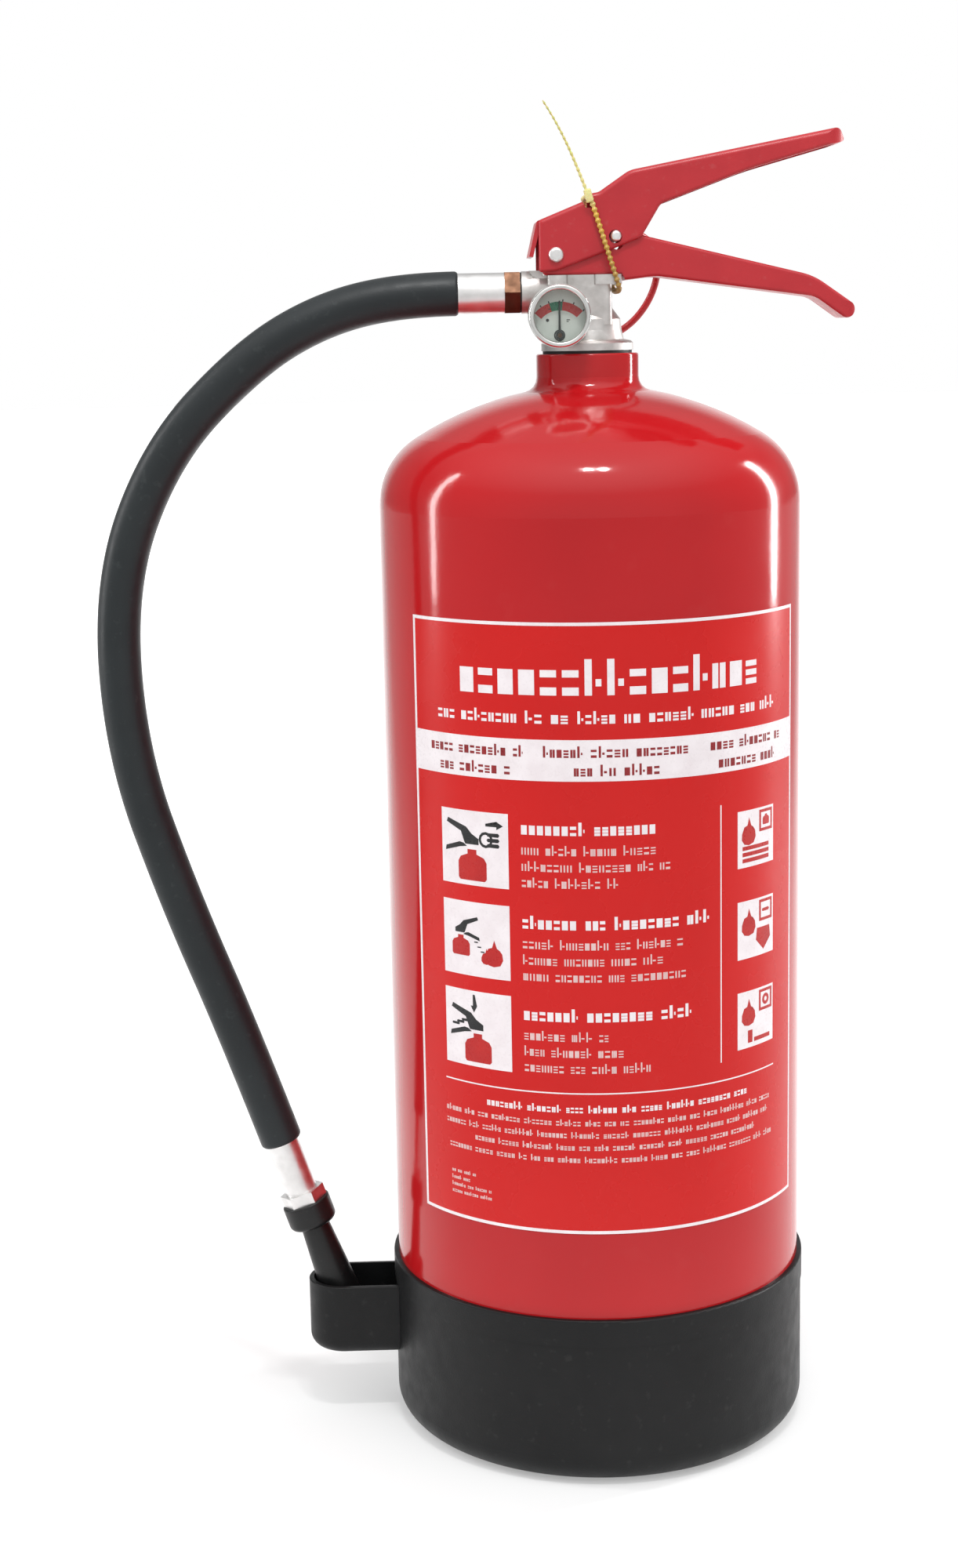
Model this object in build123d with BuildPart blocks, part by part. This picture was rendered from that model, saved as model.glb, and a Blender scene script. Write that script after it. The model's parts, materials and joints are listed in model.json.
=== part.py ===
from build123d import *
from math import asin, atan2, cos, degrees, pi, radians, sin, sqrt, tan
import os

# A hand-held powder fire extinguisher: pressed-steel tank, squeeze valve with
# gauge, hose and nozzle, and a plastic foot cap with a holder for the nozzle.
# Millimetres. The origin is the middle of the foot cap's underside and Z is up.
# The handles point to +X, the hose leaves to -X, gauge and label face -Y.

# ---- tank ----
tank_radius = 80.0
tank_wall = 1.5
shoulder_rim_z = 363.5
shoulder_crown = 125.0
shoulder_knuckle = 30.0
seam_z = 40.0
bottom_crown = 200.0
bottom_knuckle = 15.0
neck_radius = 19.3
neck_bore = 15.0
collar_bore = 16.5
collar_top_z = 413.0
neck_top_z = 419.5
neck_flare = 5.5

# ---- foot cap and nozzle holder ----
cap_wall = 1.5
cap_floor = 2.5
cap_height = 66.4
cap_fillet = 10.5
lip_height = 10.4
lip_step = 0.4
holder_reach = 102.5
holder_root = 70.0
holder_radius = 14.0
holder_wall = 1.9
holder_low_z = 25.9
holder_top_z = 54.8
holder_floor = 2.5
holder_fillet = 6.0
drain_circle, drain_radius = 50.0, 4.0

# ---- label and contents ----
label_low_z = 100.0
label_high_z = 327.0
label_half_angle = 61.0
label_turn = 3.0
label_thickness = 0.2
powder_gap = 0.1
powder_level = 340.0
dip_tube_radius = 6.0
dip_tube_bore = 4.5
dip_tube_low_z = 16.0
dip_tube_high_z = 406.0

# ---- valve ----
thread_radius = 14.9
thread_low_z = 402.0
gasket = 1.1
flange_radius = 17.3
flange_top_z = 424.0
valve_half_depth = 11.5
lug_top_z = 448.3
lug_height = 3.6
head_top_z = 458.0
chamber_radius = 7.5
seat_z = 436.0
seat_thickness = 3.0
gallery_top_z = 447.0
stem_radius = 2.5
stem_top_z = 473.0
disc_radius = 6.3
disc_height = 2.2
seal_height = 2.5
retainer_top_z = 408.0
running_gap = 0.05

# ---- handles, pressed from sheet ----
sheet = 1.5
handle_bend = 1.2
lever_bend = 1.8
lever_half = 13.0
handle_half = 11.2
pivot_x, pivot_z = -12.0, 455.7
rivet_radius = 1.9
rivet_head_radius = 2.85
press_angle = 6.0
pin_x, pin_z = 10.2, 462.1
pin_radius = 2.05
pin_tip_y = -14.6
eye_y = 21.5
eye_ring, eye_wire = 3.8, 1.2
pull_ring_radius, pull_ring_wire = 21.5, 1.35

# ---- gauge ----
gauge_x, gauge_z = -11.75, 433.4
gauge_radius = 11.6
gauge_back = 18.0
gauge_front = 27.0
gauge_port, gauge_port_depth = 4.0, 8.0
needle_drop = 7.0
needle_length = 12.5
spindle_radius = 0.8
lens_back = 26.0

# ---- outlet, hose and nozzle ----
outlet_z = 442.4
outlet_bore = 3.0
hose_nut_half = 7.5
upper_ferrule_radius = 7.5
hose_radius = 8.25
hose_route = [
    (-48.4, 442.4), (-70.0, 442.4), (-100.0, 435.6), (-128.0, 419.5), (-162.0, 385.5),
    (-182.0, 336.0), (-180.2, 270.0), (-161.5, 211.0), (-141.0, 157.6), (-125.6, 112.2),
]
lower_ferrule_length, lower_ferrule_radius = 22.0, 6.45
nozzle_nut_length, nozzle_nut_half = 4.5, 7.8
collar_length, collar_radius = 10.5, 9.6
spigot_radius, spigot_length = 5.2, 2.0
jet_radius, jet_bore = 2.9, 1.8
barrel_end = 82.0
barrel_root_radius, barrel_mouth_radius = 5.7, 8.8
barrel_wall = 1.7

os.makedirs("parts", exist_ok=True)


def keep(part, node):
    """Label a finished piece and write it under its node's name."""
    part.label = node
    export_step(part, f"parts/{node}.step")


def front(distance):
    """Upright plane this far in front of the axis; extrusions run to the front."""
    return Plane.XZ.offset(distance)


def outlet_plane(x):
    """Plane across the outlet at this x; extrusions run along the outlet, to -X."""
    return Plane(origin=(x, 0, outlet_z), x_dir=(0, 1, 0), z_dir=(-1, 0, 0))


def nozzle_plane(distance):
    """Plane across the nozzle, this far below the end of the hose and in line with it."""
    end = Vector(hose_route[-1][0], 0, hose_route[-1][1])
    before = Vector(hose_route[-2][0], 0, hose_route[-2][1])
    down = (end - before).normalized()
    return Plane(origin=end + down * distance, x_dir=(-down.Z, 0, down.X), z_dir=down)


def dished_profile(radius, crown, knuckle, rim_z, far_z, up):
    """Half section of a dished end: knuckle and crown arcs closed on the axis at far_z."""
    spread = radius - knuckle
    lean = asin(spread / (crown - knuckle))
    crown_z = rim_z - up * sqrt((crown - knuckle) ** 2 - spread**2)
    half_knuckle = (radians(90) - lean) / 2
    meet = (crown * sin(lean), crown_z + up * crown * cos(lean))
    knuckle_mid = (spread + knuckle * cos(half_knuckle), rim_z + up * knuckle * sin(half_knuckle))
    crown_mid = (crown * sin(lean / 2), crown_z + up * crown * cos(lean / 2))
    top = (0, crown_z + up * crown)
    with BuildSketch(Plane.XZ) as profile:
        with BuildLine():
            ThreePointArc((radius, rim_z), knuckle_mid, meet)
            ThreePointArc(meet, crown_mid, top)
            Polyline(top, (0, far_z), (radius, far_z), (radius, rim_z))
        make_face()
    return profile.sketch


def turned_profile(points):
    """Half section through straight points, to be revolved about Z."""
    with BuildSketch(Plane.XZ) as profile:
        with BuildLine():
            Polyline(*points, close=True)
        make_face()
    return profile.sketch


def rounded_outline(points):
    """Side view of a pressed handle. Each point is x, z and its corner radius."""
    with BuildSketch(Plane.XZ) as outline:
        with BuildLine():
            Polyline(*[(x, z) for x, z, radius in points], close=True)
        make_face()
        for x, z, radius in points:
            if radius > 0:
                fillet(outline.vertices().sort_by_distance((x, z))[0], radius)
    return outline.sketch


# ---- tank ----
with BuildPart() as tank_body:
    revolve(
        dished_profile(tank_radius, shoulder_crown, shoulder_knuckle, shoulder_rim_z, seam_z, 1),
        axis=Axis.Z,
    )
    with BuildSketch(Plane.XY.offset(shoulder_rim_z)):
        Circle(neck_radius)
    extrude(amount=collar_top_z - shoulder_rim_z)
    neck_joint = (
        tank_body.edges()
        .filter_by(lambda edge: abs(edge.length - 2 * pi * neck_radius) < 0.01)
        .sort_by(Axis.Z)[0]
    )
    fillet(neck_joint, neck_flare)
    revolve(
        dished_profile(
            tank_radius - tank_wall,
            shoulder_crown - tank_wall,
            shoulder_knuckle - tank_wall,
            shoulder_rim_z,
            seam_z,
            1,
        ),
        axis=Axis.Z,
        mode=Mode.SUBTRACT,
    )
    with BuildSketch(Plane.XY.offset(seam_z)):
        Circle(collar_bore)
    extrude(amount=collar_top_z - seam_z, mode=Mode.SUBTRACT)
keep(tank_body.part, "tank_body")

# The dished bottom stands on the cap's floor.
bottom_drop = bottom_crown - sqrt(
    (bottom_crown - bottom_knuckle) ** 2 - (tank_radius - bottom_knuckle) ** 2
)
bottom_rim_z = cap_floor + bottom_drop
with BuildPart() as tank_bottom:
    revolve(
        dished_profile(tank_radius, bottom_crown, bottom_knuckle, bottom_rim_z, seam_z, -1),
        axis=Axis.Z,
    )
    revolve(
        dished_profile(
            tank_radius - tank_wall,
            bottom_crown - tank_wall,
            bottom_knuckle - tank_wall,
            bottom_rim_z,
            seam_z,
            -1,
        ),
        axis=Axis.Z,
        mode=Mode.SUBTRACT,
    )
keep(tank_bottom.part, "tank_bottom")

with BuildPart() as neck_ring:
    spigot_low_z = collar_top_z - 10
    revolve(
        turned_profile(
            [
                (neck_bore, spigot_low_z), (collar_bore, spigot_low_z),
                (collar_bore, collar_top_z), (neck_radius, collar_top_z),
                (neck_radius, neck_top_z), (neck_bore, neck_top_z),
            ]
        ),
        axis=Axis.Z,
    )
    fillet(neck_ring.edges().group_by(Axis.Z)[-1].sort_by(SortBy.LENGTH)[-1], 0.8)
keep(neck_ring.part, "neck_ring")

# ---- foot cap with the nozzle holder moulded on ----
cap_radius = tank_radius + cap_wall
with BuildPart() as base_cap:
    # Holder: a round-ended cup that runs into the side of the cap.
    holder_middle = (-(holder_reach + holder_root) / 2, 0)
    holder_run = holder_reach - holder_root
    with BuildSketch(Plane.XY.offset(holder_low_z)):
        with Locations(holder_middle):
            SlotCenterToCenter(holder_run, 2 * holder_radius)
    extrude(amount=holder_top_z - holder_low_z)
    fillet(base_cap.edges().group_by(Axis.Z)[0], holder_fillet)
    fillet(base_cap.edges().group_by(Axis.Z)[-1], 0.6)
    with BuildSketch(Plane.XY.offset(holder_low_z + holder_floor)):
        with Locations(holder_middle):
            SlotCenterToCenter(holder_run, 2 * (holder_radius - holder_wall))
    extrude(amount=holder_top_z - holder_low_z, mode=Mode.SUBTRACT)
    # Cap: a round tub with a slightly thicker lip.
    with BuildSketch():
        Circle(cap_radius)
    extrude(amount=cap_height)
    fillet(base_cap.edges().filter_by(GeomType.CIRCLE).group_by(Axis.Z)[0], cap_fillet)
    with BuildSketch(Plane.XY.offset(cap_height - lip_height)):
        Circle(cap_radius + lip_step)
    extrude(amount=lip_height)
    fillet(base_cap.edges().filter_by(GeomType.CIRCLE).group_by(Axis.Z)[-1], 0.7)
    inner_fillet = cap_fillet - cap_wall
    with BuildSketch(Plane.XZ) as tub_inside:
        with BuildLine():
            Polyline((0, cap_floor), (tank_radius - inner_fillet, cap_floor))
            ThreePointArc(
                (tank_radius - inner_fillet, cap_floor),
                (
                    tank_radius - inner_fillet * (1 - sin(radians(45))),
                    cap_floor + inner_fillet * (1 - cos(radians(45))),
                ),
                (tank_radius, cap_floor + inner_fillet),
            )
            Polyline(
                (tank_radius, cap_floor + inner_fillet),
                (tank_radius, cap_height),
                (0, cap_height),
                (0, cap_floor),
            )
        make_face()
    revolve(axis=Axis.Z, mode=Mode.SUBTRACT)
    # Drain holes
    with BuildSketch():
        with PolarLocations(drain_circle, 6, start_angle=30):
            Circle(drain_radius)
    extrude(amount=cap_floor, mode=Mode.SUBTRACT)
keep(base_cap.part, "base_cap")

# ---- label, a thin wrap on the front of the tank ----
label_start = radians(label_turn - 90 - label_half_angle)
with BuildPart() as label:
    with BuildSketch(
        Plane(
            origin=(0, 0, 0),
            x_dir=(cos(label_start), sin(label_start), 0),
            z_dir=(sin(label_start), -cos(label_start), 0),
        )
    ):
        with Locations((tank_radius + label_thickness / 2, (label_low_z + label_high_z) / 2)):
            Rectangle(label_thickness, label_high_z - label_low_z)
    revolve(axis=Axis.Z, revolution_arc=2 * label_half_angle)
keep(label.part, "label")

# ---- powder and dip tube ----
inner_gap = tank_wall + powder_gap
with BuildPart() as powder_charge:
    revolve(
        dished_profile(
            tank_radius - inner_gap,
            bottom_crown - inner_gap,
            bottom_knuckle - inner_gap,
            bottom_rim_z,
            powder_level,
            -1,
        ),
        axis=Axis.Z,
    )
    with BuildSketch():
        Circle(dip_tube_radius + powder_gap)
    extrude(amount=powder_level, mode=Mode.SUBTRACT)
keep(powder_charge.part, "powder_charge")

with BuildPart() as dip_tube:
    with BuildSketch(Plane.XY.offset(dip_tube_low_z)):
        Circle(dip_tube_radius)
        Circle(dip_tube_bore, mode=Mode.SUBTRACT)
    extrude(amount=dip_tube_high_z - dip_tube_low_z)
    # Four windows keep the foot of the tube from sealing against the tank.
    with BuildSketch(Plane.XY.offset(dip_tube_low_z)):
        Rectangle(3, 20)
        Rectangle(20, 3)
    extrude(amount=6, mode=Mode.SUBTRACT)
keep(dip_tube.part, "dip_tube")

# ---- valve body: threaded foot, flange, flat-fronted block and a narrow head ----
flange_low_z = neck_top_z + gasket
outlet_end_x = -24.6
gauge_boss_front = 16.5
gland_radius, gland_depth = 4.2, 6.0
with BuildPart() as valve_body:
    revolve(
        turned_profile(
            [
                (0, thread_low_z), (thread_radius, thread_low_z), (thread_radius, flange_low_z),
                (flange_radius, flange_low_z), (flange_radius, flange_top_z - 0.8),
                (flange_radius - 0.8, flange_top_z), (13.8, flange_top_z + 0.6),
                (13.0, 428), (12.6, 432), (9.6, 436), (9.0, lug_top_z), (0, lug_top_z),
            ]
        ),
        axis=Axis.Z,
    )
    with BuildSketch(Plane.XY.offset(430)):
        with Locations((-2.2, 0)):
            RectangleRounded(22, 2 * valve_half_depth, 2.5)
    extrude(amount=lug_top_z - 430)
    # Lugs that the handle's side plates stand on
    with BuildSketch(Plane.XY.offset(lug_top_z - lug_height)):
        with Locations((-11.4, 0)):
            RectangleRounded(7.4, 2 * lever_half - 1, 1.2)
        with Locations((7.2, 0)):
            RectangleRounded(10.4, 2 * lever_half - 1, 1.2)
    extrude(amount=lug_height)
    # Head between the side plates, with a short tail at the back
    head_half = handle_half - sheet - 0.1
    with BuildSketch(Plane.XY.offset(lug_top_z)):
        with Locations((-5.25, 0)):
            RectangleRounded(23.5, 2 * head_half, 2)
    extrude(amount=head_top_z - lug_top_z)
    with BuildSketch(Plane.XZ):
        with BuildLine():
            Polyline(
                (-13, 450.2), (-21.8, 450.2), (-20.6, 448.2), (-17.6, 446.8),
                (-16.8, 445.4), (-13, 445.4), close=True,
            )
        make_face()
    extrude(amount=6, both=True)
    # Outlet boss and gauge boss
    with BuildSketch(outlet_plane(0)):
        Circle(7.8)
    extrude(amount=-outlet_end_x)
    with BuildSketch(front(-3)):
        with Locations((gauge_x, gauge_z)):
            Circle(6.8)
    extrude(amount=gauge_boss_front + 3)
    # Chamber below the seat, seat hole, gallery above it, and the stem's guide
    with BuildSketch(Plane.XY.offset(thread_low_z)):
        Circle(chamber_radius)
    extrude(amount=seat_z - thread_low_z, mode=Mode.SUBTRACT)
    with BuildSketch(Plane.XY.offset(seat_z)):
        Circle(4)
    extrude(amount=seat_thickness, mode=Mode.SUBTRACT)
    with BuildSketch(Plane.XY.offset(seat_z + seat_thickness)):
        Circle(5)
    extrude(amount=gallery_top_z - seat_z - seat_thickness, mode=Mode.SUBTRACT)
    with BuildSketch(Plane.XY.offset(gallery_top_z)):
        Circle(stem_radius + running_gap)
    extrude(amount=head_top_z - gallery_top_z, mode=Mode.SUBTRACT)
    with BuildSketch(Plane.XY.offset(head_top_z - gland_depth)):
        Circle(gland_radius)
    extrude(amount=gland_depth, mode=Mode.SUBTRACT)
    with BuildSketch(outlet_plane(0)):
        Circle(4.5)
    extrude(amount=-outlet_end_x, mode=Mode.SUBTRACT)
    # Gauge port, joined to the chamber by a cross hole
    with BuildSketch(front(gauge_port_depth)):
        with Locations((gauge_x, gauge_z)):
            Circle(gauge_port)
    extrude(amount=gauge_boss_front, mode=Mode.SUBTRACT)
    with BuildSketch(front(0)):
        with Locations((gauge_x, gauge_z)):
            Circle(1.2)
    extrude(amount=10, mode=Mode.SUBTRACT)
    with BuildSketch(Plane.YZ.offset(gauge_x)):
        with Locations((0, gauge_z)):
            Circle(1.2)
    extrude(amount=8, mode=Mode.SUBTRACT)
    # Rivet hole
    with BuildSketch(Plane.XZ):
        with Locations((pivot_x, pivot_z)):
            Circle(rivet_radius)
    extrude(amount=lever_half, both=True, mode=Mode.SUBTRACT)
keep(valve_body.part, "valve_body")

with BuildPart() as neck_gasket:
    with BuildSketch(Plane.XY.offset(neck_top_z)):
        Circle(flange_radius - 0.5)
        Circle(thread_radius, mode=Mode.SUBTRACT)
    extrude(amount=gasket)
keep(neck_gasket.part, "neck_gasket")

# ---- inside the valve ----
with BuildPart() as spring_retainer:
    with BuildSketch(Plane.XY.offset(thread_low_z)):
        Circle(chamber_radius)
    extrude(amount=retainer_top_z - thread_low_z)
    with BuildSketch(Plane.XY.offset(thread_low_z)):
        Circle(dip_tube_radius)
    extrude(amount=dip_tube_high_z - thread_low_z, mode=Mode.SUBTRACT)
    with BuildSketch(Plane.XY.offset(dip_tube_high_z)):
        Circle(dip_tube_bore)
    extrude(amount=retainer_top_z - dip_tube_high_z, mode=Mode.SUBTRACT)
keep(spring_retainer.part, "spring_retainer")

seal_low_z = seat_z - seal_height
disc_low_z = seal_low_z - disc_height
with BuildPart() as valve_stem:
    with BuildSketch(Plane.XY.offset(disc_low_z)):
        Circle(disc_radius)
    extrude(amount=disc_height)
    with BuildSketch(Plane.XY.offset(disc_low_z - 6)):
        Circle(stem_radius)
    extrude(amount=stem_top_z - disc_low_z + 6)
    fillet(valve_stem.edges().group_by(Axis.Z)[-1], 2)
keep(valve_stem.part, "valve_stem")

with BuildPart() as stem_seal:
    with BuildSketch(Plane.XY.offset(seal_low_z)):
        Circle(disc_radius - 0.4)
        Circle(stem_radius, mode=Mode.SUBTRACT)
    extrude(amount=seal_height - running_gap)
keep(stem_seal.part, "stem_seal")

spring_wire = 0.45
spring_radius = 5.0
spring_turns = 6
spring_low_z = retainer_top_z + spring_wire + 0.05
spring_height = disc_low_z - retainer_top_z - 2 * spring_wire - 0.1
with BuildPart() as valve_spring:
    with BuildLine():
        Helix(pitch=spring_height / spring_turns, height=spring_height, radius=spring_radius,
              center=(0, 0, spring_low_z))
    with BuildSketch(Plane(origin=(spring_radius, 0, spring_low_z), z_dir=(0, 1, 0))):
        Circle(spring_wire)
    sweep(is_frenet=True)
keep(valve_spring.part, "valve_spring")

with BuildPart() as gland_seal:
    with BuildSketch(Plane.XY.offset(head_top_z - gland_depth)):
        Circle(gland_radius)
        Circle(stem_radius + running_gap, mode=Mode.SUBTRACT)
    extrude(amount=1.8)
keep(gland_seal.part, "gland_seal")

with BuildPart() as gland_nut:
    gland_thread_z = head_top_z - gland_depth + 1.8
    with BuildSketch(Plane.XY.offset(gland_thread_z)):
        Circle(gland_radius)
    extrude(amount=head_top_z - gland_thread_z)
    with BuildSketch(Plane.XY.offset(head_top_z)):
        RegularPolygon(5.5, 6, major_radius=False)
    extrude(amount=3)
    with BuildSketch(Plane.XY.offset(gland_thread_z)):
        Circle(stem_radius + running_gap)
    extrude(amount=20, mode=Mode.SUBTRACT)
keep(gland_nut.part, "gland_nut")

# ---- carrying handle: a U channel, open on top, fixed over the valve's head ----
handle_web = sheet + 0.1
pivot_to_pin = Vector(pin_x - pivot_x, pin_z - pivot_z).length
pin_angle = degrees(atan2(pin_z - pivot_z, pin_x - pivot_x))
with BuildLine() as pin_path:
    CenterArc((pivot_x, pivot_z), pivot_to_pin, pin_angle + 0.5, -press_angle - 1)
with BuildPart() as carrying_handle:
    extrude(
        rounded_outline(
            [
                (-17.0, lug_top_z, 1.5), (12.6, lug_top_z, 0), (13.6, 446.1, 0),
                (25.0, 447.4, 20), (84.5, 438.8, 10), (96.9, 429.9, 2.8), (101.2, 434.4, 3.2),
                (84.0, 446.5, 25), (20.7, 462.1, 3), (17.0, 465.5, 2), (-8.0, 464.5, 3),
                (-17.0, 458.5, 3),
            ]
        ),
        amount=handle_half,
        both=True,
    )
    for y in (-handle_half, handle_half):
        fillet(carrying_handle.edges().sort_by_distance((54.0, y, 443.2))[0], handle_bend)
    extrude(
        rounded_outline(
            [
                (-25.0, 440.0, 0), (12.8, 440.0, 0), (12.8, 446.1 + handle_web, 0),
                (25.0, 447.4 + handle_web, 20), (84.5, 438.8 + handle_web, 8),
                (91.0, 434.0 + handle_web, 0), (91.0, 480.0, 0), (-25.0, 480.0, 0),
            ]
        ),
        amount=handle_half - sheet,
        both=True,
        mode=Mode.SUBTRACT,
    )
    # Rounded end, seen from above
    with BuildSketch(Plane.XY.offset(420)):
        with Locations((42, 0)):
            RectangleRounded(120, 2 * handle_half, 7)
        with Locations((-15, 0)):
            Rectangle(20, 2 * handle_half)
    extrude(amount=60, mode=Mode.INTERSECT)
    # Rivet holes, and curved slots that the safety pin crosses
    with BuildSketch(Plane.XZ):
        with Locations((pivot_x, pivot_z)):
            Circle(rivet_radius)
        SlotArc(pin_path.edges()[0], 2 * pin_radius + 0.6)
    extrude(amount=lever_half, both=True, mode=Mode.SUBTRACT)
keep(carrying_handle.part, "carrying_handle")

# ---- operating lever: an inverted U channel outside the handle's plates ----
lever_web = sheet + 0.1
web_slope = (474.7 - 468.2) / (18.5 - 1.9)
with BuildPart() as operating_lever:
    extrude(
        rounded_outline(
            [
                (-18.4, 468.2, 1.5), (-1.9, 474.7, 0), (-0.9, 472.4, 0), (1.2, 472.4, 0),
                (1.2, 477.6, 0), (4.0, 478.0, 4), (15.5, 485.7, 10), (93.0, 499.8, 2.5),
                (95.6, 495.0, 0), (60.0, 485.4, 120), (26.9, 473.4, 4), (19.6, 461.4, 4),
                (8.0, 457.0, 10), (-12.0, 449.8, 8), (-18.4, 449.3, 0),
            ]
        ),
        amount=lever_half,
        both=True,
    )
    for y in (-lever_half, lever_half):
        for x, z in ((-10.0, 471.5), (50.0, 492.0)):
            fillet(operating_lever.edges().sort_by_distance((x, y, z))[0], lever_bend)
    fillet(operating_lever.edges().sort_by_distance((95.6, 0, 495.0))[0], 1.2)
    extrude(
        rounded_outline(
            [
                (-30.0, 466.6 - 11.5 * web_slope, 0), (-0.9, 466.6 + 17.6 * web_slope, 0),
                (1.2, 476.0, 0), (4.3, 476.3, 0), (16.0, 484.1, 0), (91.5, 497.9, 0),
                (91.5, 440.0, 0), (-30.0, 440.0, 0),
            ]
        ),
        amount=lever_half - sheet,
        both=True,
        mode=Mode.SUBTRACT,
    )
    # Back tab, bent down and flared from the end of the web
    extrude(
        rounded_outline(
            [
                (-16.9, 468.7, 0), (-18.9, 468.0, 1), (-21.9, 455.2, 0),
                (-20.4, 455.0, 0), (-17.4, 466.8, 0),
            ]
        ),
        amount=lever_half - sheet - 0.6,
        both=True,
    )
    # Rounded tip, seen from above
    with BuildSketch(Plane.XY.offset(440)):
        with Locations((35.8, 0)):
            RectangleRounded(120, 2 * lever_half, 8)
        with Locations((-15, 0)):
            Rectangle(20, 2 * lever_half)
    extrude(amount=70, mode=Mode.INTERSECT)
    with BuildSketch(Plane.XZ):
        with Locations((pivot_x, pivot_z)):
            Circle(rivet_radius + running_gap)
        with Locations((pin_x - 0.2, pin_z - 0.2)):
            Circle(pin_radius + 0.4)
    extrude(amount=lever_half, both=True, mode=Mode.SUBTRACT)
keep(operating_lever.part, "operating_lever")

with BuildPart() as pivot_rivet:
    head_y = lever_half + running_gap
    with BuildSketch(Plane.XZ):
        with Locations((pivot_x, pivot_z)):
            Circle(rivet_radius)
    extrude(amount=head_y, both=True)
    for plane in (front(head_y), Plane.XZ.offset(-head_y - 1.6)):
        with BuildSketch(plane):
            with Locations((pivot_x, pivot_z)):
                Circle(rivet_head_radius)
        extrude(amount=1.6)
    fillet(pivot_rivet.edges().group_by(Axis.Y)[0], 1.4)
    fillet(pivot_rivet.edges().group_by(Axis.Y)[-1], 1.4)
keep(pivot_rivet.part, "pivot_rivet")

# ---- safety pin, pull ring and tamper seal ----
eye_axis = Vector(0.94, 0, 0.34)
with BuildPart() as safety_pin:
    with BuildSketch(front(-eye_y + eye_ring)):
        with Locations((pin_x, pin_z)):
            Circle(pin_radius)
    extrude(amount=eye_y - eye_ring - pin_tip_y)
    fillet(safety_pin.edges().group_by(Axis.Y)[0], 1.2)
    with Locations(Plane(origin=(pin_x, eye_y, pin_z), z_dir=eye_axis)):
        Torus(eye_ring, eye_wire)
keep(safety_pin.part, "safety_pin")

ring_normal = Vector(-0.562, 0.717, 0.412)
ring_drop = Vector(3.05, 12.34, -17.33)
with BuildPart() as pull_ring:
    with Locations(
        Plane(
            origin=Vector(pin_x, eye_y, pin_z) + ring_drop,
            z_dir=ring_normal,
        )
    ):
        Torus(pull_ring_radius, pull_ring_wire)
keep(pull_ring.part, "pull_ring")

seal_radius = 0.95
seal_y = lever_half + seal_radius + 0.35
seal_top_x, seal_top_z = 0.1, 476.4
with BuildPart() as tamper_seal:
    with BuildLine() as seal_loop:
        FilletPolyline(
            (1.0, -seal_y, 475.5), (10.9, -seal_y, 444.4), (11.3, -seal_y + 2.5, 442.4),
            (11.3, seal_y - 2.5, 442.4), (10.9, seal_y, 444.4), (seal_top_x, seal_y, seal_top_z),
            (seal_top_x, -seal_y, seal_top_z),
            radius=1.2,
        )
    with BuildSketch(Plane(origin=seal_loop.line @ 0, z_dir=seal_loop.line % 0)):
        Circle(seal_radius)
    sweep()
    with Locations((seal_top_x, -seal_y - 0.2, seal_top_z)):
        Box(2.8, 3.0, 4.6)
    with BuildLine() as seal_tail:
        ThreePointArc(
            (seal_top_x, -seal_y, seal_top_z),
            (-7.2, -seal_y - 0.5, 494.5),
            (-16.4, -seal_y - 1.5, 510.6),
        )
    with BuildSketch(Plane(origin=seal_tail.line @ 0, z_dir=seal_tail.line % 0)):
        Circle(0.6)
    sweep(path=seal_tail.line)
keep(tamper_seal.part, "tamper_seal")

# ---- pressure gauge ----
case_wall = 1.2
case_inside = gauge_back + case_wall
stub_end = gauge_port_depth + 0.5
with BuildPart() as gauge_case:
    with BuildSketch(front(gauge_back)):
        with Locations((gauge_x, gauge_z)):
            Circle(gauge_radius)
    extrude(amount=gauge_front - gauge_back)
    fillet(gauge_case.edges().group_by(Axis.Y)[-1], 1.2)
    with BuildSketch(front(case_inside)):
        with Locations((gauge_x, gauge_z)):
            Circle(gauge_radius - case_wall)
    extrude(amount=gauge_front, mode=Mode.SUBTRACT)
    with BuildSketch(front(stub_end)):
        with Locations((gauge_x, gauge_z)):
            Circle(gauge_port)
    extrude(amount=gauge_back - stub_end)
    with BuildSketch(front(stub_end)):
        with Locations((gauge_x, gauge_z)):
            Circle(1)
    extrude(amount=case_inside - stub_end, mode=Mode.SUBTRACT)
keep(gauge_case.part, "gauge_case")

with BuildPart() as gauge_seal:
    with BuildSketch(front(gauge_boss_front)):
        with Locations((gauge_x, gauge_z)):
            Circle(6)
            Circle(gauge_port, mode=Mode.SUBTRACT)
    extrude(amount=gauge_back - gauge_boss_front)
keep(gauge_seal.part, "gauge_seal")

dial_back = 23.4
dial_thickness = 0.6
with BuildPart() as gauge_dial:
    with BuildSketch(front(dial_back)):
        with Locations((gauge_x, gauge_z)):
            Circle(gauge_radius - case_wall - 0.1)
        with Locations((gauge_x, gauge_z - needle_drop)):
            Circle(spindle_radius, mode=Mode.SUBTRACT)
    extrude(amount=dial_thickness)
keep(gauge_dial.part, "gauge_dial")

with BuildPart() as gauge_spindle:
    with BuildSketch(front(case_inside)):
        with Locations((gauge_x, gauge_z - needle_drop)):
            Circle(spindle_radius)
    extrude(amount=lens_back - 0.3 - case_inside)
keep(gauge_spindle.part, "gauge_spindle")

with BuildPart() as gauge_tube:
    with BuildLine() as coil:
        CenterArc((0, 0), 6.5, -50, 280)
    with BuildSketch(Plane(origin=coil.line @ 0, z_dir=coil.line % 0)):
        Circle(0.9)
    sweep()
gauge_tube_place = Plane(origin=(gauge_x, -21.3, gauge_z), x_dir=(1, 0, 0), z_dir=(0, -1, 0))
keep(gauge_tube_place.location * gauge_tube.part, "gauge_tube")

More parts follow.
